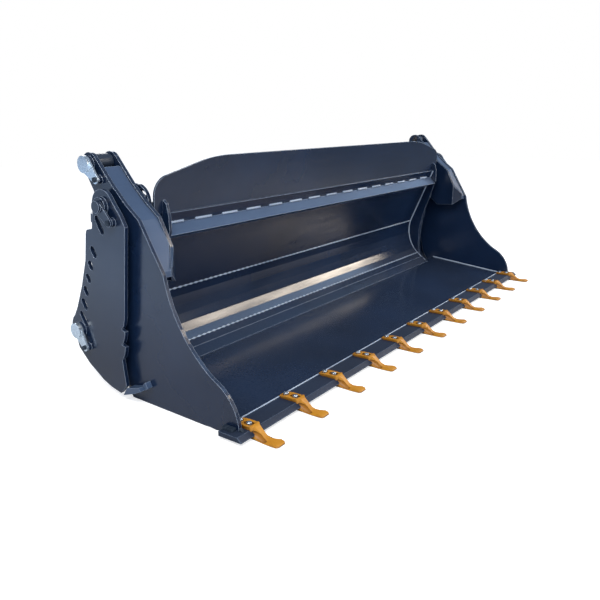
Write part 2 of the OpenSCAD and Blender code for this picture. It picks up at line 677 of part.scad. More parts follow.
module tooth(i) translate([tooth_x(i), 0, 0]) difference() {
    union() {
        polyhedron(tooth_rings, concat(tooth_walls, tooth_caps));
        intersection() {
            across(tooth_w) polygon([[tooth_back, slide_gap], [tooth_back, strap_t], [rail_start, rail_t],
                                     [tooth_heel - overrun, rail_t], [tooth_heel - overrun, slide_gap]]);
            linear_extrude(rail_t + overrun) polygon([
                [-strap_end_w / 2, tooth_back], [strap_end_w / 2, tooth_back],
                [tooth_w / 2, tooth_back - strap_end_l], [tooth_w / 2, tooth_heel - overrun],
                [-tooth_w / 2, tooth_heel - overrun], [-tooth_w / 2, tooth_back - strap_end_l]]);
        }
    }
    across(tip_w + tooth_w) polygon(beside(edge_line, -slide_gap));
    for (y = bolt_rows) translate([0, y, -overrun]) cylinder(d = tooth_bolt_d + 2 * pin_clear, h = tooth_h);
    translate([0, bolt_rows[0], strap_t]) cylinder(r = bolt_seat_r, h = tooth_h);
    translate([0, bolt_rows[1], strap_t]) linear_extrude(tooth_h)
        polygon(slot_line([0, seat_reach], [0, -seat_reach], bolt_seat_r, slot_steps));
}

module tooth_piece(i) placed() color(cast) on_edge() tooth(i);

tooth_head_r = 11;
tooth_head_t = 8;
nut_t = 8;
bolt_tail = 1.5;
module tooth_bolts() placed() color(zinc) on_edge() at_bolts() {
    translate([0, 0, strap_t]) cylinder(r = tooth_head_r, h = tooth_head_t, $fn = 6);
    translate([0, 0, -edge_t - nut_t - bolt_tail])
        cylinder(d = tooth_bolt_d, h = strap_t + edge_t + nut_t + bolt_tail);
}
module tooth_nut() difference() {
    cylinder(r = tooth_head_r, h = nut_t, $fn = 6);
    translate([0, 0, -overrun]) cylinder(d = tooth_bolt_d + 2 * pin_clear, h = nut_t + 2 * overrun);
}
module tooth_nuts() placed() color(zinc) on_edge() at_bolts() translate([0, 0, -edge_t - nut_t]) tooth_nut();

// Cylinders: the rod's eye has play round the lever pin, where the closed linkage is left open
rest_along = 5.1;
rest_aside = -4.4;
link_way = unit(lever_at - base_at);
eye_at = lever_at + rest_along * link_way + rest_aside * [-link_way[1], link_way[0]];
ram_way = unit(eye_at - base_at);
ram_lean = angle_of(ram_way) - 90;
ram_d = arm_box_w / 2;
eye_play = 2.5;
eye_w = arm_box_w - 2 * side_t - 2 * eye_play;
base_eye_w = 60;
barrel_wall = 6;
gland_l = 34;
gland_over = 4;
piston_at = 200;
piston_l = 30;
base_cap = 45;
port_z = 96;
port_reach = 34;
port_h = 26;
port_spread = 14;
nipple_h = 12;
nipple_d = 16;
transfer_d = 12;
transfer_top = gland_l / 2;
transfer_seat = 1;
module ram_axis() {
    translate([ram_d - half_w, base_at[0], base_at[1]]) rotate([ram_lean, 0, 0]) children();
}
module crosswise(r, w) {
    translate([-w / 2, 0, 0]) rotate([0, 90, 0]) cylinder(r = r, h = w);
}
module barrel() ram_axis() difference() {
    union() {
        crosswise(base_eye_d / 2, base_eye_w);
        cylinder(d = barrel_d, h = barrel_l);
        translate([0, 0, barrel_l - gland_l]) cylinder(d = barrel_d + 2 * gland_over, h = gland_l);
        translate([-port_spread - port_h / 2, 0, port_z - port_h / 2])
            cube([2 * port_spread + port_h, barrel_d / 2 + port_reach, port_h]);
        for (side = [-1, 1])
            translate([side * port_spread, barrel_d / 2 + port_reach - port_h / 2, port_z])
                cylinder(d = nipple_d, h = port_h / 2 + nipple_h);
        translate([0, barrel_d / 2 + transfer_d / 2 - transfer_seat, port_z])
            cylinder(d = transfer_d, h = barrel_l - port_z - transfer_top);
        translate([-transfer_d / 2 - transfer_seat, 0, barrel_l - transfer_top - transfer_d / 2])
            cube([transfer_d + 2 * transfer_seat, barrel_d / 2 + transfer_d, transfer_d]);
    }
    crosswise(base_pin_d / 2 + pin_clear, max(base_eye_w, barrel_d) + 2 * overrun);
    translate([0, 0, base_cap]) cylinder(d = barrel_d - 2 * barrel_wall, h = barrel_l - base_cap - gland_l);
    cylinder(d = rod_d + 2 * pin_clear, h = barrel_l + overrun);
}
module barrel_left() placed() color(paint) barrel();
module barrel_right() placed() mirrored() color(paint) barrel();

module ram_rod() ram_axis() difference() {
    union() {
        translate([0, 0, piston_at]) cylinder(d = barrel_d - 2 * barrel_wall - 2 * pin_clear, h = piston_l);
        translate([0, 0, piston_at]) cylinder(d = rod_d, h = norm(eye_at - base_at) - piston_at);
        translate([0, 0, norm(eye_at - base_at)]) crosswise(rod_eye_d / 2, eye_w);
    }
    translate([0, 0, norm(eye_at - base_at)]) crosswise(lever_pin_d / 2 + link_play, eye_w + 2 * overrun);
}
module rod_left() placed() color(steel) ram_rod();
module rod_right() placed() mirrored() color(steel) ram_rod();

// Hydraulics on the moldboard
pipe_lift = 20;
pipe_offs = [34, 62];
pipe_ends = [885, 845];
function pipe_at(i) = behind(upper_tube_s - pipe_lift, pipe_offs[i]);
fitting_h = 34;
fitting_r = 13;
clip_places_share = [0.3, 0.66];
clip_w = 30;
clip_over = 12;
block_w = 170;
block_l = 74;
module pipe_run(side) {
    for (i = [0, 1]) {
        translate([side > 0 ? block_w / 2 : -pipe_ends[i], pipe_at(i)[0], pipe_at(i)[1]]) rotate([0, 90, 0])
            cylinder(d = pipe_d, h = pipe_ends[i] - block_w / 2);
        translate([side * pipe_ends[i], pipe_at(i)[0], pipe_at(i)[1] - pipe_d / 2])
            cylinder(r = fitting_r, h = fitting_h);
    }
    for (s = clip_places_share) translate([side * s * pipe_ends[0], 0, 0]) across(clip_w)
        polygon([behind(upper_tube_s, pipe_offs[0] - clip_over),
                 behind(upper_tube_s, pipe_offs[1] + clip_over),
                 behind(upper_tube_s - pipe_lift - clip_over, pipe_offs[1] + clip_over),
                 behind(upper_tube_s - pipe_lift - clip_over, pipe_offs[0] - clip_over)]);
}
module hydraulic_pipes() placed() color(steel) {
    pipe_run(1);
    pipe_run(-1);
}
coupler_r = 15;
coupler_h = 46;
coupler_ring = 4;
coupler_gap = 44;
module coupler_block() placed() color(zinc) union() {
    across(block_w) polygon([behind(upper_tube_s, clip_over), behind(upper_tube_s, clip_over + block_l),
                             behind(upper_tube_s - 3 * pipe_lift, clip_over + block_l),
                             behind(upper_tube_s - 3 * pipe_lift, clip_over)]);
    for (side = [-1, 1]) translate([side * coupler_gap, 0, 0])
        translate([0, behind(upper_tube_s - 3 * pipe_lift, clip_over + block_l / 2)[0],
                   behind(upper_tube_s - 3 * pipe_lift, clip_over + block_l / 2)[1]])
            rotate([angle_of(back_way) + 90, 0, 0]) {
                cylinder(r = coupler_r, h = coupler_h);
                translate([0, 0, coupler_h / 2]) cylinder(r = coupler_r + coupler_ring, h = coupler_h / 3);
            }
}

// Hoses, each swept along a smooth line through points chosen by hand, across, back and up
port_end = port_z + port_h / 2 + nipple_h + slide_gap;
function port_top(i, along) =
    let (q = turned([port_end + along, -(barrel_d / 2 + port_reach - port_h / 2)], angle_of(ram_way)))
    [ram_d - half_w + (i == 0 ? -port_spread : port_spread), base_at[0] + q[0], base_at[1] + q[1]];
function pipe_top(i) = [-pipe_ends[i], pipe_at(i)[0], pipe_at(i)[1] - pipe_d / 2 + fitting_h];
high_route = [[-1285, 875, 350], [-1235, 855, 440], [-1140, 790, 545], [-1040, 715, 650],
              [-985, 648, 770], [-936, 618, 838], [-892, 624, 760]];
low_route = [[-1260, 876, 345], [-1205, 852, 430], [-1110, 795, 530], [-1015, 735, 620],
             [-940, 697, 705], [-875, 674, 738], [-847, 665, 700]];
side_route = [[-1285, 875, 350], [-1235, 857, 440], [-1140, 802, 545], [-1050, 740, 635],
              [-975, 678, 720], [-910, 646, 738], [-886, 638, 695]];
hose_straight = 36;
hose_sides = 8;
hose_steps = 2;
function smooth_at(a, b, c, d, t) =
    mixed(mixed(mixed(a, b, t + 1), mixed(b, c, t), (t + 1) / 2),
          mixed(mixed(b, c, t), mixed(c, d, t - 1), t / 2), t);
function smooth(p) = concat(
    [for (i = [0 : len(p) - 2], k = [0 : hose_steps - 1])
        smooth_at(p[max(i - 1, 0)], p[i], p[i + 1], p[min(i + 2, len(p) - 1)], k / hose_steps)],
    [p[len(p) - 1]]);
function hose_path(i, route) = concat([port_top(i, 0)], [port_top(i, hose_straight)], route, [pipe_top(i)]);
module hose(line) {
    p = smooth(line);
    n = len(p);
    rings = [for (i = [0 : n - 1])
        let (way = i == 0 ? line[1] - line[0] : i == n - 1 ? [0, 0, -1] : p[i + 1] - p[i - 1],
             u = unit(cross(way, [0, 1, 0])), v = unit(cross(way, u)))
        for (k = [0 : hose_sides - 1])
            p[i] + (u * cos(360 * k / hose_sides) + v * sin(360 * k / hose_sides)) * hose_d / 2];
    walls = [for (i = [0 : n - 2], k = [0 : hose_sides - 1])
        let (a = i * hose_sides + k, b = i * hose_sides + (k + 1) % hose_sides)
        for (f = [[a, b, b + hose_sides], [a, b + hose_sides, a + hose_sides]]) f];
    last = (n - 1) * hose_sides;
    caps = [for (k = [1 : hose_sides - 2]) for (f = [[0, k + 1, k], [last, last + k, last + k + 1]]) f];
    polyhedron(rings, concat(walls, caps));
}
module hydraulic_hoses_left() placed() color(hose_black) {
    hose(hose_path(0, side_route));
    hose(hose_path(1, low_route));
}
module hydraulic_hoses_right() placed() mirrored() color(hose_black) {
    hose(hose_path(0, high_route));
    hose(hose_path(1, low_route));
}

rear_y = stood(hanger_lower)[0] + hanger_boss_r;
tip_top_share = tooth_shares[len(tooth_shares) - 1][4];
front_y = stood(edge_point([tooth_back - tooth_l, crest - tip_top_share * tooth_h]))[0];
middle_y = (rear_y + front_y) / 2;

back_sheet();
spill_guard();
angle_beam();
rear_cutting_edge();
upper_tube();
lower_tube();
back_ribs();
keeper_bolts();
hydraulic_pipes();
coupler_block();
jaw_floor();
jaw_cutting_edge();
jaw_underskin();
heel_bar();
toe_strips();
stop_bars();
tooth_bolts();
tooth_nuts();
lever_keeper_bolts();
outer_side_plate_left();
outer_side_plate_right();
end_plate_left();
end_plate_right();
pivot_plate_left();
pivot_plate_right();
side_box_left();
side_box_right();
hanger_left();
hanger_right();
hydraulic_hoses_left();
hydraulic_hoses_right();
pivot_pin_left();
pivot_pin_right();
base_pin_left();
base_pin_right();
jaw_side_plate_left();
jaw_side_plate_right();
arm_inner_plate_left();
arm_inner_plate_right();
arm_cover_left();
arm_cover_right();
pivot_bush_left();
pivot_bush_right();
lever_pin_left();
lever_pin_right();
barrel_left();
barrel_right();
rod_left();
rod_right();
for (i = [1 : tooth_count]) tooth_piece(i);
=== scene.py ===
"""Looks of a four in one loader bucket: a curved rear blade and a toothed front jaw on two end pins."""
import json
import math
import random

import bmesh
import bpy
from mathutils import Matrix, Vector


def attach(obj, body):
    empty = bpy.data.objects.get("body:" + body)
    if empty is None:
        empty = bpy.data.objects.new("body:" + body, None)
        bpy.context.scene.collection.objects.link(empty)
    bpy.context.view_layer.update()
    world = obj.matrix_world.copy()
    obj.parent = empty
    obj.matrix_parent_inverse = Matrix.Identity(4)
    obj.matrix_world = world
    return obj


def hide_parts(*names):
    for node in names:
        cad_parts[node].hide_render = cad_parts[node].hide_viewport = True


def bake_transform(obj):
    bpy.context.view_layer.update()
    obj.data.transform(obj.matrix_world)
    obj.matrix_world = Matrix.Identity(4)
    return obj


bl_info = {
    "name": "Four in one loader bucket",
    "version": (1, 0, 0),
    "blender": (4, 5, 0),
    "location": "3D View > Sidebar > Bucket",
    "description": "Enamel, welds, hoses and teeth of a loader bucket that opens like a jaw",
    "category": "Add Mesh",
}

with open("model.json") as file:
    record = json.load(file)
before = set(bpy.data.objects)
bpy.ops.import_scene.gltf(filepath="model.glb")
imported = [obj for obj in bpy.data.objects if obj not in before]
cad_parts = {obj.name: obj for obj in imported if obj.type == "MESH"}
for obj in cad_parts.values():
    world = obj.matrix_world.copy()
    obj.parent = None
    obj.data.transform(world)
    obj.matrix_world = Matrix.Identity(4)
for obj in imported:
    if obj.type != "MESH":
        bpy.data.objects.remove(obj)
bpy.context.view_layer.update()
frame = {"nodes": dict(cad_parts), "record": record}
SIDES = (-1, 1)
SIDE_NAMES = {-1: "left", 1: "right"}

# The bucket is drawn with the jaw's floor level and then stood on its heel and teeth
MM = 0.001
STANCE = math.radians(5.96573)
MIDDLE_Y = 396.083
GROUND_Z = -35.5566
EDGE_TILT = math.radians(7)
EDGE_AT = (62.0, -12.5)

# Places in the bucket's own level frame, in millimetres
HALF_W = 1350.0
INNER_HALF = 1165.0
SIDE_T = 15.0
BACK_TOP = (571.0, 617.0)
BACK_FOLD = (688.0, 252.0)
BACK_FOOT = (564.0, 18.0)
CURVE_R = 215.0
CURVE_FACETS = 7
FLOOR_REAR = 553.0
BEAM_TOP = (583.0, 576.0)
EYE_AT = (780.0, 791.4)
TOOTH_COUNT = 11
TOOTH_INSET = 49.0
FIRST_TOOTH = -HALF_W + TOOTH_INSET
TOOTH_PITCH = 2 * (HALF_W - TOOTH_INSET) / (TOOTH_COUNT - 1)
BOLT_ROWS = (-21.0, -65.0)
STRAP_T = 7.0
HEAD_T = 8.0

# A tooth's right side, in millimetres from its middle and along and above the edge: the pocket's middle, a
# point on towards its tip, and the slant's upper and lower rim
POCKET_AT = (18.0, -124.0, -15.5)
POCKET_ON = (17.5, -146.0, -24.0)
SLANT_TOP = (9.6, -121.0, -2.0)
SLANT_FOOT = (25.4, -121.0, -28.3)

# How far a bead's middle stands off its joint, how far beads stop short of a corner, and the beam's dashes
BEAD_PROUD = 1.0
BEAD_SHORT = 3.0
FLOOR_BEAD_SHORT = 4.0
BEAM_DASH = 90.0
BEAM_GAP = 65.0

# In metres: how far the dark enamel reaches round a rod eye's middle, half a pocket's length and width, and
# the radius and height of a bolt's dome from its foot to its crown
EYE_PAINT_R = 0.034
POCKET_HALF_L = 0.034
POCKET_HALF_W = 0.0115
DOME = [(0.0, -0.001), (0.0095, -0.001), (0.0095, 0.0006), (0.0085, 0.0018), (0.006, 0.0028), (0.003, 0.0034),
        (0.0, 0.0036)]

# The hoses' routes at the left, in millimetres in the level frame, each from its port on the barrel to its
# pipe. The right side mirrors them.
PORTS = {"outer": (-1311.5, 872.478, 252.814), "inner": (-1283.5, 872.478, 252.814)}
PORT_WAY = (0.0, -2.49, 35.914)
PIPE_ENDS = {"outer": (-885.0, 620.153, 627.252), "inner": (-845.0, 646.817, 635.799)}
SIDE_ROUTE = [(-1285, 875, 350), (-1235, 857, 440), (-1140, 802, 545), (-1050, 740, 635),
              (-975, 678, 720), (-910, 646, 738), (-886, 638, 695)]
LOW_ROUTE = [(-1260, 876, 345), (-1205, 852, 430), (-1110, 795, 530), (-1015, 735, 620),
             (-940, 697, 705), (-875, 674, 738), (-847, 665, 700)]
HIGH_ROUTE = [(-1285, 875, 350), (-1235, 855, 440), (-1140, 790, 545), (-1040, 715, 650),
              (-985, 648, 770), (-936, 618, 838), (-892, 624, 760)]


def stood(x, y, z):
    """A point of the bucket drawn level, in millimetres, as it stands in the frame, in metres."""
    c, s = math.cos(STANCE), math.sin(STANCE)
    return Vector((x, y * c - z * s - MIDDLE_Y, y * s + z * c - GROUND_Z)) * MM


def on_edge(x, y, z):
    """A point given along and above the leaning cutting edge, in millimetres, as it stands in the frame."""
    c, s = math.cos(EDGE_TILT), math.sin(EDGE_TILT)
    return stood(x, EDGE_AT[0] + y * c + z * s, EDGE_AT[1] - y * s + z * c)


def on_tooth(side, place):
    """A point of the first tooth's left or right side, as it stands in the frame."""
    return on_edge(FIRST_TOOTH + side * place[0], place[1], place[2])


def arc_between(a, b, radius, steps):
    """Points on the arc from a to b that bulges to the right of that way, as the part's own arcs do."""
    a, b = Vector(a), Vector(b)
    across = b - a
    left = Vector((-across.y, across.x)).normalized()
    centre = (a + b) / 2 + left * math.sqrt(radius ** 2 - across.length_squared / 4)
    start = math.atan2(a.y - centre.y, a.x - centre.x)
    swing = 2 * math.asin(across.length / (2 * radius))
    turns = [start + swing * i / steps for i in range(steps + 1)]
    return [centre + radius * Vector((math.cos(t), math.sin(t))) for t in turns]


BACK_LINE = [Vector(BACK_TOP), *reversed(arc_between(BACK_FOOT, BACK_FOLD, CURVE_R, CURVE_FACETS))]


# The photograph's camera: its place in metres, its turn in degrees, and its lens
CAMERA_AT = (-2.676, -1.6705, 1.0340)
CAMERA_TURN = (73.5125, 0.7391, -52.9713)
CAMERA_LENS = 36.043

# The floor glows to the camera alone, from its middle out to where it is as white as the sky
FLOOR_HALF = 14.0
GLOW_NEAR = (1.7, 0.66)
GLOW_FAR = (3.4, 0.95)
# At the bucket's left it glows to reflections alone, like sunlit ground: place across, and level
SUNLIT_NEAR = (-1.6, 0.05)
SUNLIT_FAR = (-2.7, 1.3)

# The sky's light on the bucket, its level in reflections, and its tones there: how far the way leans from the
# horizon behind (0) over straight up (0.5) to the horizon in front (1), and tone
SKY_LEVEL = 0.3
SHINE_LEVEL = 4.0
HALL_BANDS = [(0.0, "#2a323d"), (0.3, "#303945"), (0.5, "#46505c"), (0.6, "#46505c"), (0.71, "#2b313a"),
              (1.0, "#1e232a")]

# The lamps: name, place, what it faces, its size across and along, its share of the key's power, its tone and
# the way that it lies along. The two strips are what the lower curve's facets show as bright bands.
UP = (0, 0, 1)
LAMPS = [("key", (-3.2, -1.2, 3.6), (0, 0, 0.3), (3.0, 2.2), 1.0, "#ffffff", UP),
         ("fill", (1.0, -4.6, 1.8), (0, 0, 0.4), (3.0, 2.0), 0.3, "#ffffff", UP),
         ("back", (1.2, 3.6, 2.6), (0, 0, 0.4), (3.0, 1.5), 0.4, "#ffffff", UP),
         ("door", (-3.4, -3.6, 0.9), (-1.2, -0.2, 0.5), (1.2, 1.8), 0.35, "#dfe9f7", UP),
         ("sun_strip", (2.4, -1.9, 2.1), (-0.6, 0.1, 0.2), (0.24, 3.0), 0.36, "#fff0dc", (0, -0.747, 0.664)),
         ("sky_strip", (2.45, -1.08, 2.6), (-0.6, 0.1, 0.2), (0.6, 3.0), 0.15, "#a9c6ea", (0, -0.467, 0.884))]


# Colours and materials

def linear(code):
    """A linear colour from an sRGB hex value."""
    parts = [int(code[i:i + 2], 16) / 255 for i in (1, 3, 5)]
    return (*[c / 12.92 if c <= 0.04045 else ((c + 0.055) / 1.055) ** 2.4 for c in parts], 1.0)


def add(tree, kind, inputs=None, **settings):
    """Adds a node with its settings, and fills its inputs with values or links."""
    node = tree.nodes.new(kind)
    for key, value in settings.items():
        setattr(node, key, value)
    for key, value in (inputs or {}).items():
        if isinstance(value, bpy.types.NodeSocket):
            tree.links.new(value, node.inputs[key])
        else:
            node.inputs[key].default_value = value
    return node


def material(name):
    """An empty material, its tree, its shader and its object coordinates."""
    made = bpy.data.materials.new(name)
    made.use_nodes = True
    tree = made.node_tree
    tree.nodes.clear()
    shader = add(tree, "ShaderNodeBsdfPrincipled")
    add(tree, "ShaderNodeOutputMaterial", {"Surface": shader.outputs[0]})
    return made, tree, shader, add(tree, "ShaderNodeTexCoord").outputs["Object"]


def enamel(name, deep, pale, dust_and_highlight, rough, edge=0.003):
    """Sprayed polyurethane enamel on rolled plate: a smooth semi-gloss coat over a faintly wavy sheet, a
    little dust on what faces up, and rounded plate edges where the paint is thin, with a painted highlight
    along them in the pale tone that the dust also takes."""
    made, tree, shader, where = material(name)
    flat = add(tree, "ShaderNodeNewGeometry").outputs["Normal"]
    clouds = add(tree, "ShaderNodeTexNoise", {"Vector": where, "Scale": 2.2, "Detail": 4.0}).outputs["Fac"]
    spread = add(tree, "ShaderNodeMapRange", {"Value": clouds, "From Min": 0.3, "From Max": 0.7}).outputs[0]
    tone = add(tree, "ShaderNodeMix", {0: spread, 6: deep, 7: pale}, data_type="RGBA").outputs[2]
    up = add(tree, "ShaderNodeSeparateXYZ", {0: flat}).outputs["Z"]
    specks = add(tree, "ShaderNodeTexNoise", {"Vector": where, "Scale": 140.0, "Detail": 2.0}).outputs["Fac"]
    dust = add(tree, "ShaderNodeMath", {0: up, 1: specks}, operation="MULTIPLY", use_clamp=True).outputs[0]
    dust = add(tree, "ShaderNodeMath", {0: dust, 1: 0.05}, operation="MULTIPLY").outputs[0]
    tone = add(tree, "ShaderNodeMix", {0: dust, 6: tone, 7: dust_and_highlight}, data_type="RGBA").outputs[2]
    # Painted highlight: where the rounded normal turns away from the flat one, the plate edges are mixed
    # toward the pale tone
    soft = add(tree, "ShaderNodeBevel", {"Radius": edge}, samples=4).outputs[0]
    turn = add(tree, "ShaderNodeVectorMath", {0: soft, 1: flat}, operation="DOT_PRODUCT").outputs["Value"]
    rim = add(tree, "ShaderNodeMapRange", {"Value": turn, "From Min": 0.985, "From Max": 0.86, "To Min": 0.0,
                                           "To Max": 0.75}).outputs[0]
    tone = add(tree, "ShaderNodeMix", {0: rim, 6: tone, 7: dust_and_highlight}, data_type="RGBA").outputs[2]
    tree.links.new(tone, shader.inputs["Base Color"])
    smear = add(tree, "ShaderNodeMapping", {"Vector": where, "Scale": (1.0, 3.0, 9.0)}).outputs[0]
    wipes = add(tree, "ShaderNodeTexNoise", {"Vector": smear, "Scale": 3.0, "Detail": 5.0}).outputs["Fac"]
    dull = add(tree, "ShaderNodeMapRange", {"Value": wipes, "From Min": 0.35, "From Max": 0.75,
                                            "To Min": rough, "To Max": rough + 0.12}).outputs[0]
    tree.links.new(dull, shader.inputs["Roughness"])
    # Orange peel is about 2 mm from lump to lump, drawn 4 mm so that it shows
    lumps = add(tree, "ShaderNodeTexNoise", {"Vector": where, "Scale": 250.0, "Detail": 2.0}).outputs["Fac"]
    peel = add(tree, "ShaderNodeBump", {"Height": lumps, "Strength": 0.06, "Distance": 0.0004,
                                        "Normal": soft})
    sheet = add(tree, "ShaderNodeTexNoise", {"Vector": smear, "Scale": 1.4, "Detail": 1.0}).outputs["Fac"]
    wave = add(tree, "ShaderNodeBump", {"Height": sheet, "Strength": 0.15, "Distance": 0.002,
                                        "Normal": peel.outputs[0]})
    tree.links.new(wave.outputs[0], shader.inputs["Normal"])
    shader.inputs["IOR"].default_value = 1.5
    return made


def cast_enamel(name, deep, pale):
    """Yellow enamel dipped over rough cast steel: a lumpy skin, darker where the paint runs thin, grey at
    knocks and with painted shade in the hollows."""
    made, tree, shader, where = material(name)
    flat = add(tree, "ShaderNodeNewGeometry").outputs["Normal"]
    patches = add(tree, "ShaderNodeTexNoise", {"Vector": where, "Scale": 26.0, "Detail": 3.0}).outputs["Fac"]
    tone = add(tree, "ShaderNodeMix", {0: patches, 6: deep, 7: pale}, data_type="RGBA").outputs[2]
    soft = add(tree, "ShaderNodeBevel", {"Radius": 0.0015}, samples=4).outputs[0]
    turn = add(tree, "ShaderNodeVectorMath", {0: soft, 1: flat}, operation="DOT_PRODUCT").outputs["Value"]
    rim = add(tree, "ShaderNodeMapRange", {"Value": turn, "From Min": 0.97, "From Max": 0.8}).outputs[0]
    grit = add(tree, "ShaderNodeTexNoise", {"Vector": where, "Scale": 60.0, "Detail": 4.0}).outputs["Fac"]
    knocks = add(tree, "ShaderNodeMapRange", {"Value": grit, "From Min": 0.62, "From Max": 0.68}).outputs[0]
    thin = add(tree, "ShaderNodeMath", {0: rim, 1: 0.4}, operation="MULTIPLY").outputs[0]
    bare = add(tree, "ShaderNodeMath", {0: rim, 1: knocks}, operation="MULTIPLY").outputs[0]
    tone = add(tree, "ShaderNodeMix", {0: thin, 6: tone, 7: linear("#7c5216")}, data_type="RGBA").outputs[2]
    tone = add(tree, "ShaderNodeMix", {0: bare, 6: tone, 7: linear("#3c3430")}, data_type="RGBA").outputs[2]
    # Painted shade in the hollows: darker where the ambient occlusion finds them closed in
    open_share = add(tree, "ShaderNodeAmbientOcclusion", {"Distance": 0.02}, samples=6).outputs["AO"]
    hollow_shade = add(tree, "ShaderNodeMapRange", {"Value": open_share, "From Min": 0.95,
                                            "From Max": 0.55}).outputs[0]
    tone = add(tree, "ShaderNodeMix", {0: hollow_shade, 6: tone, 7: linear("#6b430f")}, data_type="RGBA").outputs[2]
    tree.links.new(tone, shader.inputs["Base Color"])
    skin = add(tree, "ShaderNodeTexNoise", {"Vector": where, "Scale": 90.0, "Detail": 3.0}).outputs["Fac"]
    dull = add(tree, "ShaderNodeMapRange", {"Value": skin, "From Min": 0.3, "From Max": 0.7, "To Min": 0.36,
                                            "To Max": 0.54}).outputs[0]
    tree.links.new(dull, shader.inputs["Roughness"])
    # Sand cast skin with grains of 1 mm, drawn 3 mm
    sand = add(tree, "ShaderNodeTexNoise", {"Vector": where, "Scale": 330.0, "Detail": 3.0}).outputs["Fac"]
    rough = add(tree, "ShaderNodeBump", {"Height": sand, "Strength": 0.25, "Distance": 0.001, "Normal": soft})
    tree.links.new(rough.outputs[0], shader.inputs["Normal"])
    return made


def plated(name, deep, pale, rough):
    """Bright zinc plating: a pale metal with faint cloudy patches and a soft gloss."""
    made, tree, shader, where = material(name)
    cloud = add(tree, "ShaderNodeTexNoise", {"Vector": where, "Scale": 60.0, "Detail": 4.0}).outputs["Fac"]
    tone = add(tree, "ShaderNodeMix", {0: cloud, 6: deep, 7: pale}, data_type="RGBA").outputs[2]
    tree.links.new(tone, shader.inputs["Base Color"])
    dull = add(tree, "ShaderNodeMapRange", {"Value": cloud, "From Min": 0.3, "From Max": 0.7, "To Min": rough,
                                            "To Max": rough + 0.12}).outputs[0]
    tree.links.new(dull, shader.inputs["Roughness"])
    soft = add(tree, "ShaderNodeBevel", {"Radius": 0.0015}, samples=4).outputs[0]
    # Tumbling marks under a millimetre wide, drawn 2 mm
    dents = add(tree, "ShaderNodeTexNoise", {"Vector": where, "Scale": 420.0, "Detail": 2.0}).outputs["Fac"]
    marks = add(tree, "ShaderNodeBump", {"Height": dents, "Strength": 0.05, "Distance": 0.0004,
                                         "Normal": soft})
    tree.links.new(marks.outputs[0], shader.inputs["Normal"])
    shader.inputs["Metallic"].default_value = 0.85
    return made


def rolled_steel(name, deep, pale):
    """Hot rolled wear steel under thin paint: dull blue-grey with paler scuffs along it."""
    made, tree, shader, where = material(name)
    drawn = add(tree, "ShaderNodeMapping", {"Vector": where, "Scale": (1.0, 12.0, 12.0)}).outputs[0]
    rubs = add(tree, "ShaderNodeTexNoise", {"Vector": drawn, "Scale": 9.0, "Detail": 5.0,
                                            "Roughness": 0.7}).outputs["Fac"]
    scuff = add(tree, "ShaderNodeMapRange", {"Value": rubs, "From Min": 0.5, "From Max": 0.72}).outputs[0]
    tone = add(tree, "ShaderNodeMix", {0: scuff, 6: deep, 7: pale}, data_type="RGBA").outputs[2]
    tree.links.new(tone, shader.inputs["Base Color"])
    dull = add(tree, "ShaderNodeMapRange", {"Value": scuff, "To Min": 0.6, "To Max": 0.5}).outputs[0]
    tree.links.new(dull, shader.inputs["Roughness"])
    soft = add(tree, "ShaderNodeBevel", {"Radius": 0.002}, samples=4).outputs[0]
    lines = add(tree, "ShaderNodeTexNoise", {"Vector": drawn, "Scale": 40.0, "Detail": 3.0}).outputs["Fac"]
    grain = add(tree, "ShaderNodeBump", {"Height": lines, "Strength": 0.2, "Distance": 0.001, "Normal": soft})
    tree.links.new(grain.outputs[0], shader.inputs["Normal"])
    shader.inputs["Specular IOR Level"].default_value = 0.35
    return made


def hard_chrome(name):
    """Ground and polished hard chrome on the rods, a near mirror with faint lines round the rod, and dark
    enamel on the welded eye at its end."""
    made, tree, shader, where = material(name)
    turned = add(tree, "ShaderNodeMapping", {"Vector": where, "Scale": (1.0, 1.0, 60.0)}).outputs[0]
    lines = add(tree, "ShaderNodeTexNoise", {"Vector": turned, "Scale": 8.0, "Detail": 3.0}).outputs["Fac"]
    tone = add(tree, "ShaderNodeMix", {0: lines, 6: linear("#aab0b6"), 7: linear("#c4c9ce")},
               data_type="RGBA").outputs[2]
    eye = stood(0, *EYE_AT)
    side = add(tree, "ShaderNodeMapping", {"Vector": where, "Scale": (0.0, 1.0, 1.0)}).outputs[0]
    out = add(tree, "ShaderNodeVectorMath", {0: side, 1: eye}, operation="DISTANCE").outputs["Value"]
    rod = add(tree, "ShaderNodeMapRange", {"Value": out, "From Min": EYE_PAINT_R - MM,
                                           "From Max": EYE_PAINT_R + MM}).outputs[0]
    tone = add(tree, "ShaderNodeMix", {0: rod, 6: linear("#2b3340"), 7: tone}, data_type="RGBA").outputs[2]
    tree.links.new(tone, shader.inputs["Base Color"])
    dull = add(tree, "ShaderNodeMapRange", {"Value": lines, "From Min": 0.3, "From Max": 0.7, "To Min": 0.14,
                                            "To Max": 0.26}).outputs[0]
    dull = add(tree, "ShaderNodeMix", {0: rod, 2: 0.34, 3: dull}).outputs[0]
    tree.links.new(dull, shader.inputs["Roughness"])
    tree.links.new(rod, shader.inputs["Metallic"])
    return made


def hose_cover(name):
    """Black rubber hose cover, cured in a cloth wrap that leaves a fine cloth grain on it."""
    made, tree, shader, where = material(name)
    cloud = add(tree, "ShaderNodeTexNoise", {"Vector": where, "Scale": 40.0, "Detail": 3.0}).outputs["Fac"]
    tone = add(tree, "ShaderNodeMix", {0: cloud, 6: linear("#121417"), 7: linear("#22262a")},
               data_type="RGBA").outputs[2]
    tree.links.new(tone, shader.inputs["Base Color"])
    # The cloth's threads are 1 mm apart, drawn 4 mm
    weave = add(tree, "ShaderNodeTexNoise", {"Vector": where, "Scale": 250.0, "Detail": 2.0}).outputs["Fac"]
    wrap = add(tree, "ShaderNodeBump", {"Height": weave, "Strength": 0.3, "Distance": 0.0008})
    tree.links.new(wrap.outputs[0], shader.inputs["Normal"])
    shader.inputs["Roughness"].default_value = 0.5
    return made


def settings(context):
    """The sizes and colours that the user can change."""
    return context.scene.bucket_look


# Meshes

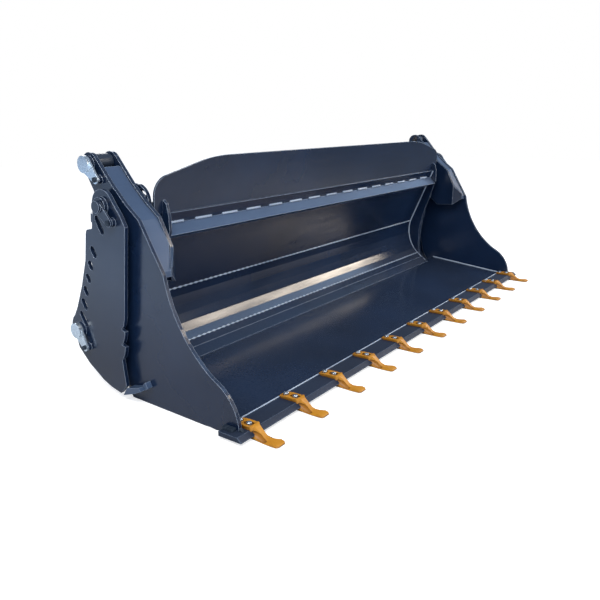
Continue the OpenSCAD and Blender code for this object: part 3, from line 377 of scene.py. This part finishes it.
def finish_piece(bm, name, body, surface, smooth=True, replaces=()):
    """Turns a bmesh into a piece that stands at the origin, rides on a body and may stand for CAD nodes."""
    mesh = bpy.data.meshes.new(name)
    bm.to_mesh(mesh)
    bm.free()
    piece = bpy.data.objects.new(name, mesh)
    bpy.context.scene.collection.objects.link(piece)
    mesh.materials.append(bpy.data.materials[surface])
    mesh.shade_smooth() if smooth else mesh.shade_flat()
    if body:
        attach(piece, body)
    if replaces:
        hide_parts(*replaces)
    return piece


def bead(bm, points, radius, pitch, seed, waist=0.8):
    """A weld bead laid through the points: a ring drawn out step by step, swelling at each ripple."""
    rng = random.Random(seed)
    way = (points[1] - points[0]).normalized()
    ring = bmesh.ops.create_circle(bm, cap_ends=True, segments=8, radius=radius * 0.5)["verts"]
    spin = way.to_track_quat("Z", "Y").to_matrix().to_4x4()
    bmesh.ops.transform(bm, matrix=Matrix.Translation(points[0]) @ spin, verts=ring)
    edges = list(dict.fromkeys(e for v in ring for e in v.link_edges))
    at = points[0].copy()
    for start, goal in zip(points, points[1:]):
        steps = max(1, round((goal - start).length / pitch * 2))
        for k in range(1, steps + 1):
            out = bmesh.ops.extrude_edge_only(bm, edges=edges)["geom"]
            fresh = {v for v in out if isinstance(v, bmesh.types.BMVert)}
            edges = [e for e in out if isinstance(e, bmesh.types.BMEdge) and set(e.verts) <= fresh]
            new = start.lerp(goal, k / steps)
            size = radius * (1.0 if k % 2 else waist) * rng.uniform(0.9, 1.08)
            for v in fresh:
                v.co = new + (v.co - at).normalized() * size
            at = new
    bmesh.ops.edgeloop_fill(bm, edges=edges)


def lathe(bm, profile, place, segments=24):
    """Turns a line of radius and height round the z axis of a place matrix."""
    line = [bm.verts.new((r, 0.0, z)) for r, z in profile]
    spun = line + [bm.edges.new(pair) for pair in zip(line, line[1:])]
    bmesh.ops.spin(bm, geom=spun, axis=(0, 0, 1), cent=(0, 0, 0), angle=math.tau, steps=segments,
                   use_merge=True)
    fresh = [v for v in bm.verts if v.tag is False]
    bmesh.ops.remove_doubles(bm, verts=fresh, dist=1e-6)
    fresh = [v for v in bm.verts if v.tag is False]
    bmesh.ops.recalc_face_normals(bm, faces=list(dict.fromkeys(f for v in fresh for f in v.link_faces)))
    bmesh.ops.transform(bm, matrix=place, verts=fresh)
    for v in fresh:
        v.tag = True


def smooth_line(points, steps=2):
    """The part's own smooth line through a route's points."""
    line = []
    for i in range(len(points) - 1):
        a, b, c, d = (points[max(i - 1, 0)], points[i], points[i + 1], points[min(i + 2, len(points) - 1)])
        for k in range(steps):
            t = k / steps
            ab, bc, cd = a.lerp(b, t + 1), b.lerp(c, t), c.lerp(d, t - 1)
            line.append(ab.lerp(bc, (t + 1) / 2).lerp(bc.lerp(cd, t / 2), t))
    return line + [points[-1]]


class BucketLook(bpy.types.PropertyGroup):
    """Sizes and colours of the bucket's looks"""
    enamel_deep: bpy.props.FloatVectorProperty(name="Enamel, deep",
                                               description="Deeper tone of the plates' enamel",
                                               default=linear("#0f1c31"), size=4, subtype="COLOR")
    enamel_pale: bpy.props.FloatVectorProperty(name="Enamel, pale",
                                               description="Paler tone of the plates' enamel",
                                               default=linear("#172843"), size=4, subtype="COLOR")
    teeth_deep: bpy.props.FloatVectorProperty(name="Teeth, deep",
                                              description="Deeper tone of the teeth's enamel",
                                              default=linear("#b9771a"), size=4, subtype="COLOR")
    teeth_pale: bpy.props.FloatVectorProperty(name="Teeth, pale",
                                              description="Paler tone of the teeth's enamel",
                                              default=linear("#d8972c"), size=4, subtype="COLOR")
    weld: bpy.props.FloatProperty(name="Weld", description="Radius of the main weld beads", default=0.005,
                                  unit="LENGTH")
    ripple: bpy.props.FloatProperty(name="Ripple", description="Distance between the ripples of a weld",
                                    default=0.014, unit="LENGTH")
    hose: bpy.props.FloatProperty(name="Hose", description="Outside diameter of the hydraulic hoses",
                                  default=0.018, unit="LENGTH")
    sleeve: bpy.props.FloatProperty(name="Sleeve", description="Length of the sleeves crimped on the hoses",
                                    default=0.030, unit="LENGTH")
    pocket: bpy.props.FloatProperty(name="Pocket",
                                    description="Depth of the leaf-shaped pockets in the teeth",
                                    default=0.006, unit="LENGTH")
    round_edge: bpy.props.FloatProperty(name="Rounding", description="Rounding of the teeth's cast edges",
                                        default=0.0015, unit="LENGTH")
    key: bpy.props.FloatProperty(name="Key light", description="Power of the large lamp at the upper left",
                                 default=140.0, unit="POWER")


# Operators

class BUCKET_OT_stage(bpy.types.Operator):
    """Sets the camera at the photograph's angle, a pale floor and soft lamps"""
    bl_idname = "bucket.stage"
    bl_label = "Stage"

    def execute(self, context):
        scene = context.scene
        scene.view_settings.view_transform = "Standard"
        lens = bpy.data.cameras.new("camera")
        lens.lens = CAMERA_LENS
        eye = bpy.data.objects.new("camera", lens)
        eye.location = CAMERA_AT
        eye.rotation_euler = [math.radians(a) for a in CAMERA_TURN]
        scene.collection.objects.link(eye)
        scene.camera = eye

        bm = bmesh.new()
        bmesh.ops.create_grid(bm, x_segments=1, y_segments=1, size=FLOOR_HALF)
        mesh = bpy.data.meshes.new("floor")
        bm.to_mesh(mesh)
        bm.free()
        floor = bpy.data.objects.new("floor", mesh)
        scene.collection.objects.link(floor)
        # Pale paper, drawn white to the camera and keeping its shadow
        made, tree, shader, where = material("pale_floor")
        fibres = add(tree, "ShaderNodeTexNoise", {"Vector": where, "Scale": 30.0,
                                                  "Detail": 2.0}).outputs["Fac"]
        tone = add(tree, "ShaderNodeMix", {0: fibres, 6: linear("#d9d9d9"), 7: linear("#dedede")},
                   data_type="RGBA").outputs[2]
        tree.links.new(tone, shader.inputs["Base Color"])
        shader.inputs["Roughness"].default_value = 0.9
        path = add(tree, "ShaderNodeLightPath")
        far = add(tree, "ShaderNodeVectorMath", {0: where}, operation="LENGTH").outputs["Value"]
        level = add(tree, "ShaderNodeMapRange", {"Value": far, "From Min": GLOW_NEAR[0],
                                                 "From Max": GLOW_FAR[0], "To Min": GLOW_NEAR[1],
                                                 "To Max": GLOW_FAR[1]}).outputs[0]
        across = add(tree, "ShaderNodeSeparateXYZ", {0: where}).outputs["X"]
        sunlit = add(tree, "ShaderNodeMapRange", {"Value": across, "From Min": SUNLIT_NEAR[0],
                                                  "From Max": SUNLIT_FAR[0], "To Min": SUNLIT_NEAR[1],
                                                  "To Max": SUNLIT_FAR[1]}).outputs[0]
        shine = add(tree, "ShaderNodeMath", {0: path.outputs["Is Glossy Ray"], 1: sunlit},
                    operation="MULTIPLY").outputs[0]
        lift = add(tree, "ShaderNodeMix", {0: path.outputs["Is Camera Ray"], 2: shine, 3: level}).outputs[0]
        cast = add(tree, "ShaderNodeMix", {0: path.outputs["Is Camera Ray"], 6: linear("#b9d2f0"),
                                           7: linear("#ffffff")}, data_type="RGBA").outputs[2]
        tree.links.new(cast, shader.inputs["Emission Color"])
        tree.links.new(lift, shader.inputs["Emission Strength"])
        mesh.materials.append(made)

        world = bpy.data.worlds.new("studio")
        scene.world = world
        world.use_nodes = True
        tree = world.node_tree
        tree.nodes.clear()
        # Reflections see a dim hall, whose tone follows how far the way leans from behind over to the front
        path = add(tree, "ShaderNodeLightPath")
        way = add(tree, "ShaderNodeTexCoord").outputs["Generated"]
        turned = add(tree, "ShaderNodeSeparateXYZ", {0: way})
        ahead = add(tree, "ShaderNodeMath", {0: turned.outputs["Y"], 1: -1.0},
                    operation="MULTIPLY").outputs[0]
        lean = add(tree, "ShaderNodeMath", {0: ahead, 1: turned.outputs["Z"]}, operation="ARCTAN2").outputs[0]
        share = add(tree, "ShaderNodeMapRange", {"Value": lean, "From Min": -math.pi / 2,
                                                 "From Max": math.pi / 2}).outputs[0]
        bands = add(tree, "ShaderNodeValToRGB", {"Fac": share})
        spots = bands.color_ramp.elements
        for place, _ in HALL_BANDS[2:]:
            spots.new(place)
        for spot, (place, tone) in zip(spots, HALL_BANDS):
            spot.position = place
            spot.color = linear(tone)
        dim = add(tree, "ShaderNodeMix", {0: path.outputs["Is Glossy Ray"], 2: SKY_LEVEL,
                                          3: SHINE_LEVEL}).outputs[0]
        level = add(tree, "ShaderNodeMix", {0: path.outputs["Is Camera Ray"], 2: dim, 3: 1.0}).outputs[0]
        tint = add(tree, "ShaderNodeMix", {0: path.outputs["Is Glossy Ray"], 6: linear("#ccdcf2"),
                                           7: bands.outputs["Color"]}, data_type="RGBA").outputs[2]
        tint = add(tree, "ShaderNodeMix", {0: path.outputs["Is Camera Ray"], 6: tint, 7: linear("#ffffff")},
                   data_type="RGBA").outputs[2]
        sky = add(tree, "ShaderNodeBackground", {"Color": tint, "Strength": level})
        add(tree, "ShaderNodeOutputWorld", {"Surface": sky.outputs[0]})

        power = settings(context).key
        for name, place, target, (wide, long), share, tone, along in LAMPS:
            data = bpy.data.lights.new(name, "AREA")
            data.shape = "RECTANGLE"
            data.size, data.size_y = wide, long
            data.energy = power * share
            data.color = linear(tone)[:3]
            lit = bpy.data.objects.new(name, data)
            lit.location = place
            away = (Vector(place) - Vector(target)).normalized()
            side = Vector(along).cross(away).normalized()
            lit.rotation_euler = Matrix((side, away.cross(side), away)).transposed().to_euler()
            scene.collection.objects.link(lit)
        return {"FINISHED"}


class BUCKET_OT_surfaces(bpy.types.Operator):
    """Gives every plate, pin, rod and bolt its finish"""
    bl_idname = "bucket.surfaces"
    bl_label = "Surfaces"

    def execute(self, context):
        look = settings(context)
        deep, pale = look.enamel_deep, look.enamel_pale
        finishes = {
            # Each enamel's third colour is the pale tone of its painted edge highlight, which its dust also
            # takes
            "paint": enamel("anthracite_enamel", deep, pale, linear("#c3d3e8"), rough=0.16),
            # A paler copy of the plates' enamel: painted light on the parts that catch more light
            "paint_lit": enamel("anthracite_enamel_painted_light", linear("#364761"), linear("#435672"),
                                linear("#b9c9de"), rough=0.28),
            "paint_dull": enamel("anthracite_enamel_scoured", linear("#101c30"), linear("#1b2a42"),
                                 linear("#8496ad"), rough=0.6),
            # The welds' enamel is painted pale, near white, as painted glints on the beads' ripples
            "weld": enamel("weld_enamel_painted_glints", linear("#8191a8"), linear("#c4d0df"), linear("#f2f6fa"),
                           rough=0.22, edge=0.001),
            "cast_teeth": cast_enamel("yellow_cast_enamel", look.teeth_deep, look.teeth_pale),
            # Darker yellow enamel for the pockets' faces: painted shade in the recess
            "pocket": cast_enamel("yellow_cast_painted_shade", linear("#a0640f"), linear("#bb7a1c")),
            "zinc_plate": plated("bright_zinc", linear("#b7c3cd"), linear("#dde6ed"), rough=0.2),
            "bare_steel": rolled_steel("painted_wear_steel", linear("#222d3a"), linear("#3f4a57")),
            "hard_chrome": hard_chrome("hard_chrome"),
            "hose_rubber": hose_cover("hose_rubber"),
        }
        slots = {part["node"]: part["material_slot"] for part in frame["record"]["subparts"]}
        for name, node in frame["nodes"].items():
            node.data.materials.clear()
            # The edge rubs on the ground, so its enamel is scoured dull
            slot = "paint_dull" if name == "jaw_cutting_edge" else slots[name]
            node.data.materials.append(finishes[slot])
        return {"FINISHED"}


class BUCKET_OT_welds(bpy.types.Operator):
    """Lays the weld beads along the folds, the plate joints, the beam and the floor"""
    bl_idname = "bucket.welds"
    bl_label = "Welds"

    def execute(self, context):
        look = settings(context)
        wide = INNER_HALF - BEAD_SHORT
        # The beads wear the enamel painted pale for glints
        rear = bmesh.new()
        for n, (y, z) in enumerate([BACK_FOLD, BACK_LINE[-2]]):
            line = [stood(x, y - BEAD_PROUD, z + BEAD_PROUD) for x in (-wide, 0, wide)]
            bead(rear, line, look.weld * 1.1, look.ripple * 2.2, seed=n, waist=0.15)
        for n, side in enumerate(SIDES):
            line = [stood(side * (INNER_HALF - BEAD_PROUD), y - BEAD_PROUD, z) for y, z in BACK_LINE]
            bead(rear, line, look.weld, look.ripple, seed=10 + n)
        finish_piece(rear, "sheet_welds", "moldboard", "weld_enamel_painted_glints")

        beam = bmesh.new()
        x = -wide
        while x + BEAM_DASH < wide:
            line = [stood(x, *BEAM_TOP), stood(x + BEAM_DASH, *BEAM_TOP)]
            bead(beam, line, look.weld * 1.3, look.ripple, seed=int(x), waist=0.6)
            x += BEAM_DASH + BEAM_GAP
        finish_piece(beam, "beam_welds", "moldboard", "weld_enamel_painted_glints")

        jaw = bmesh.new()
        inner = HALF_W - SIDE_T - BEAD_PROUD
        nose, rear_end = EDGE_AT[0] + FLOOR_BEAD_SHORT, FLOOR_REAR - FLOOR_BEAD_SHORT
        for n, side in enumerate(SIDES):
            line = [stood(side * inner, y, EDGE_AT[1] + BEAD_PROUD) for y in (nose, rear_end)]
            bead(jaw, line, look.weld, look.ripple, seed=20 + n)
        line = [stood(x, *EDGE_AT) for x in (-inner, 0, inner)]
        bead(jaw, line, look.weld * 0.7, look.ripple, seed=30)
        finish_piece(jaw, "floor_welds", "jaw", "weld_enamel_painted_glints")
        return {"FINISHED"}


class BUCKET_OT_teeth(bpy.types.Operator):
    """Rounds the cast teeth and sinks a leaf-shaped pocket in each slanted side"""
    bl_idname = "bucket.teeth"
    bl_label = "Teeth"

    def execute(self, context):
        look = settings(context)
        bm = bmesh.new()
        bm.from_mesh(frame["nodes"]["tooth_1"].data)
        bmesh.ops.remove_doubles(bm, verts=bm.verts, dist=1e-5)
        bmesh.ops.dissolve_limit(bm, angle_limit=math.radians(0.5), verts=bm.verts, edges=bm.edges)
        blank = bpy.data.meshes.new("tooth_blank")
        bm.to_mesh(blank)
        bm.free()
        work = bpy.data.objects.new("tooth_work", blank)
        context.scene.collection.objects.link(work)

        # Each pocket is dished by a long thin ellipsoid that lies along the tooth's slanted side
        cutters = bmesh.new()
        for side in SIDES:
            made = bmesh.ops.create_uvsphere(cutters, u_segments=32, v_segments=16, radius=1.0)["verts"]
            centre = on_tooth(side, POCKET_AT)
            along = (on_tooth(side, POCKET_ON) - centre).normalized()
            out = along.cross(on_tooth(side, SLANT_TOP) - on_tooth(side, SLANT_FOOT)).normalized()
            over = out.cross(along).normalized()
            form = Matrix((along * POCKET_HALF_L, over * POCKET_HALF_W, out * look.pocket)).transposed()
            bmesh.ops.transform(cutters, matrix=Matrix.Translation(centre) @ form.to_4x4(), verts=made)
        bmesh.ops.recalc_face_normals(cutters, faces=cutters.faces)
        shape = bpy.data.meshes.new("tooth_cutters")
        cutters.to_mesh(shape)
        cutters.free()
        # The pocket faces take the cutter's darker enamel, which is painted shade in the recess
        blank.materials.append(bpy.data.materials["yellow_cast_enamel"])
        shape.materials.append(bpy.data.materials["yellow_cast_painted_shade"])
        tool = bpy.data.objects.new("tooth_cutters", shape)
        context.scene.collection.objects.link(tool)
        cut = work.modifiers.new("pockets", "BOOLEAN")
        cut.operation = "DIFFERENCE"
        cut.solver = "EXACT"
        cut.material_mode = "TRANSFER"
        cut.object = tool
        context.view_layer.update()
        pocketed = bpy.data.meshes.new_from_object(work.evaluated_get(context.evaluated_depsgraph_get()))
        for spare in (work, tool):
            bpy.data.objects.remove(spare)

        for i in range(TOOTH_COUNT):
            copy = bmesh.new()
            copy.from_mesh(pocketed)
            bmesh.ops.translate(copy, vec=(TOOTH_PITCH * i * MM, 0, 0), verts=copy.verts)
            piece = finish_piece(copy, f"cast_tooth_{i + 1}", "jaw", "yellow_cast_enamel",
                                 replaces=[f"tooth_{i + 1}"])
            piece.data.materials.append(bpy.data.materials["yellow_cast_painted_shade"])
            piece.data.set_sharp_from_angle(angle=math.radians(28))
            rounding = piece.modifiers.new("rounding", "BEVEL")
            rounding.width = look.round_edge
            rounding.segments = 2
            rounding.limit_method = "ANGLE"
            rounding.angle_limit = math.radians(24)
            rounding.harden_normals = True
        return {"FINISHED"}


class BUCKET_OT_bolt_domes(bpy.types.Operator):
    """Sets a bright domed washer face on the head of each tooth bolt"""
    bl_idname = "bucket.bolt_domes"
    bl_label = "Bolt domes"

    def execute(self, context):
        lean = (on_edge(0, 0, 1) - on_edge(0, 0, 0)).to_track_quat("Z", "Y").to_matrix().to_4x4()
        bm = bmesh.new()
        for i in range(TOOTH_COUNT):
            for row in BOLT_ROWS:
                head = on_edge(FIRST_TOOTH + TOOTH_PITCH * i, row, STRAP_T + HEAD_T)
                lathe(bm, DOME, Matrix.Translation(head) @ lean, segments=16)
        finish_piece(bm, "bolt_domes", "jaw", "bright_zinc")
        return {"FINISHED"}


class BUCKET_OT_hoses(bpy.types.Operator):
    """Runs the two hoses of each barrel to the pipes, with their crimped sleeves and nuts"""
    bl_idname = "bucket.hoses"
    bl_label = "Hoses"

    def execute(self, context):
        look = settings(context)
        routes = [("left_outer", -1, "outer", SIDE_ROUTE), ("left_inner", -1, "inner", LOW_ROUTE),
                  ("right_outer", 1, "outer", HIGH_ROUTE), ("right_inner", 1, "inner", LOW_ROUTE)]
        for name, side, end, route in routes:
            port = Vector(PORTS[end])
            level = [port, port + Vector(PORT_WAY), *[Vector(p) for p in route], Vector(PIPE_ENDS[end])]
            path = [stood(-side * p.x, p.y, p.z) for p in smooth_line(level)]
            line = bpy.data.curves.new(f"hose_{name}", "CURVE")
            line.dimensions = "3D"
            line.bevel_depth = look.hose / 2
            line.bevel_resolution = 5
            line.use_fill_caps = True
            spline = line.splines.new("POLY")
            spline.points.add(len(path) - 1)
            for spot, p in zip(spline.points, path):
                spot.co = (*p, 1.0)
            drawn = bpy.data.objects.new(f"hose_{name}", line)
            mesh = bpy.data.meshes.new_from_object(drawn)
            bpy.data.objects.remove(drawn)
            bm = bmesh.new()
            bm.from_mesh(mesh)
            bmesh.ops.remove_doubles(bm, verts=bm.verts, dist=1e-6)
            bmesh.ops.recalc_face_normals(bm, faces=bm.faces)
            barrel = f"barrel_{SIDE_NAMES[side]}"
            nodes = [f"hydraulic_hoses_{SIDE_NAMES[side]}"] if end == "outer" else []
            hose = finish_piece(bm, f"hose_{name}", None, "hose_rubber", replaces=nodes)
            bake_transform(hose)
            for tag, body, at, way in (("port", barrel, path[0], path[1] - path[0]),
                                       ("pipe", "moldboard", path[-1], path[-2] - path[-1])):
                self.fitting(f"sleeve_{name}_{tag}", body, at, way, look)
        return {"FINISHED"}

    def fitting(self, name, body, at, way, look):
        """A six-sided nut and a crimped sleeve with its pressed rings."""
        place = Matrix.Translation(at) @ way.to_track_quat("Z", "Y").to_matrix().to_4x4()
        r, tall = look.hose / 2, look.sleeve
        nut, chamfer, lip, rings = 0.010, 0.001, 0.0025, 4
        corner, crest, groove = r + 0.005, r + 0.0028, r + 0.0018
        bm = bmesh.new()
        lathe(bm, [(0, 0), (corner - chamfer, 0), (corner, chamfer), (corner, nut - chamfer),
                   (corner - chamfer, nut), (0, nut)], place, segments=6)
        line = [(0, nut)]
        for k in range(rings):
            z = nut + lip + k * (tall - nut - lip) / rings
            line += [(crest, z), (crest, z + 0.003), (groove, z + 0.0035), (groove, z + 0.0045)]
        line += [(crest, tall), (r, tall + chamfer), (0, tall + chamfer)]
        lathe(bm, line, place)
        return finish_piece(bm, name, body, "bright_zinc", smooth=False)


class BUCKET_PT_panel(bpy.types.Panel):
    """Lists the steps that build the bucket's looks"""
    bl_idname = "BUCKET_PT_panel"
    bl_label = "Bucket"
    bl_space_type = "VIEW_3D"
    bl_region_type = "UI"
    bl_category = "Bucket"

    def draw(self, context):
        look = settings(context)
        for name in BucketLook.__annotations__:
            self.layout.prop(look, name)
        for step in STEPS:
            self.layout.operator(step.bl_idname)


STEPS = (BUCKET_OT_stage, BUCKET_OT_surfaces, BUCKET_OT_hoses, BUCKET_OT_welds, BUCKET_OT_teeth,
         BUCKET_OT_bolt_domes)
CLASSES = (BucketLook, *STEPS, BUCKET_PT_panel)


def register():
    for cls in CLASSES:
        bpy.utils.register_class(cls)
    bpy.types.Scene.bucket_look = bpy.props.PointerProperty(type=BucketLook)


def unregister():
    del bpy.types.Scene.bucket_look
    for cls in reversed(CLASSES):
        bpy.utils.unregister_class(cls)


def main():
    register()
    for step in STEPS:
        group, name = step.bl_idname.split(".")
        getattr(getattr(bpy.ops, group), name)()


if __name__ == "__main__":
    main()
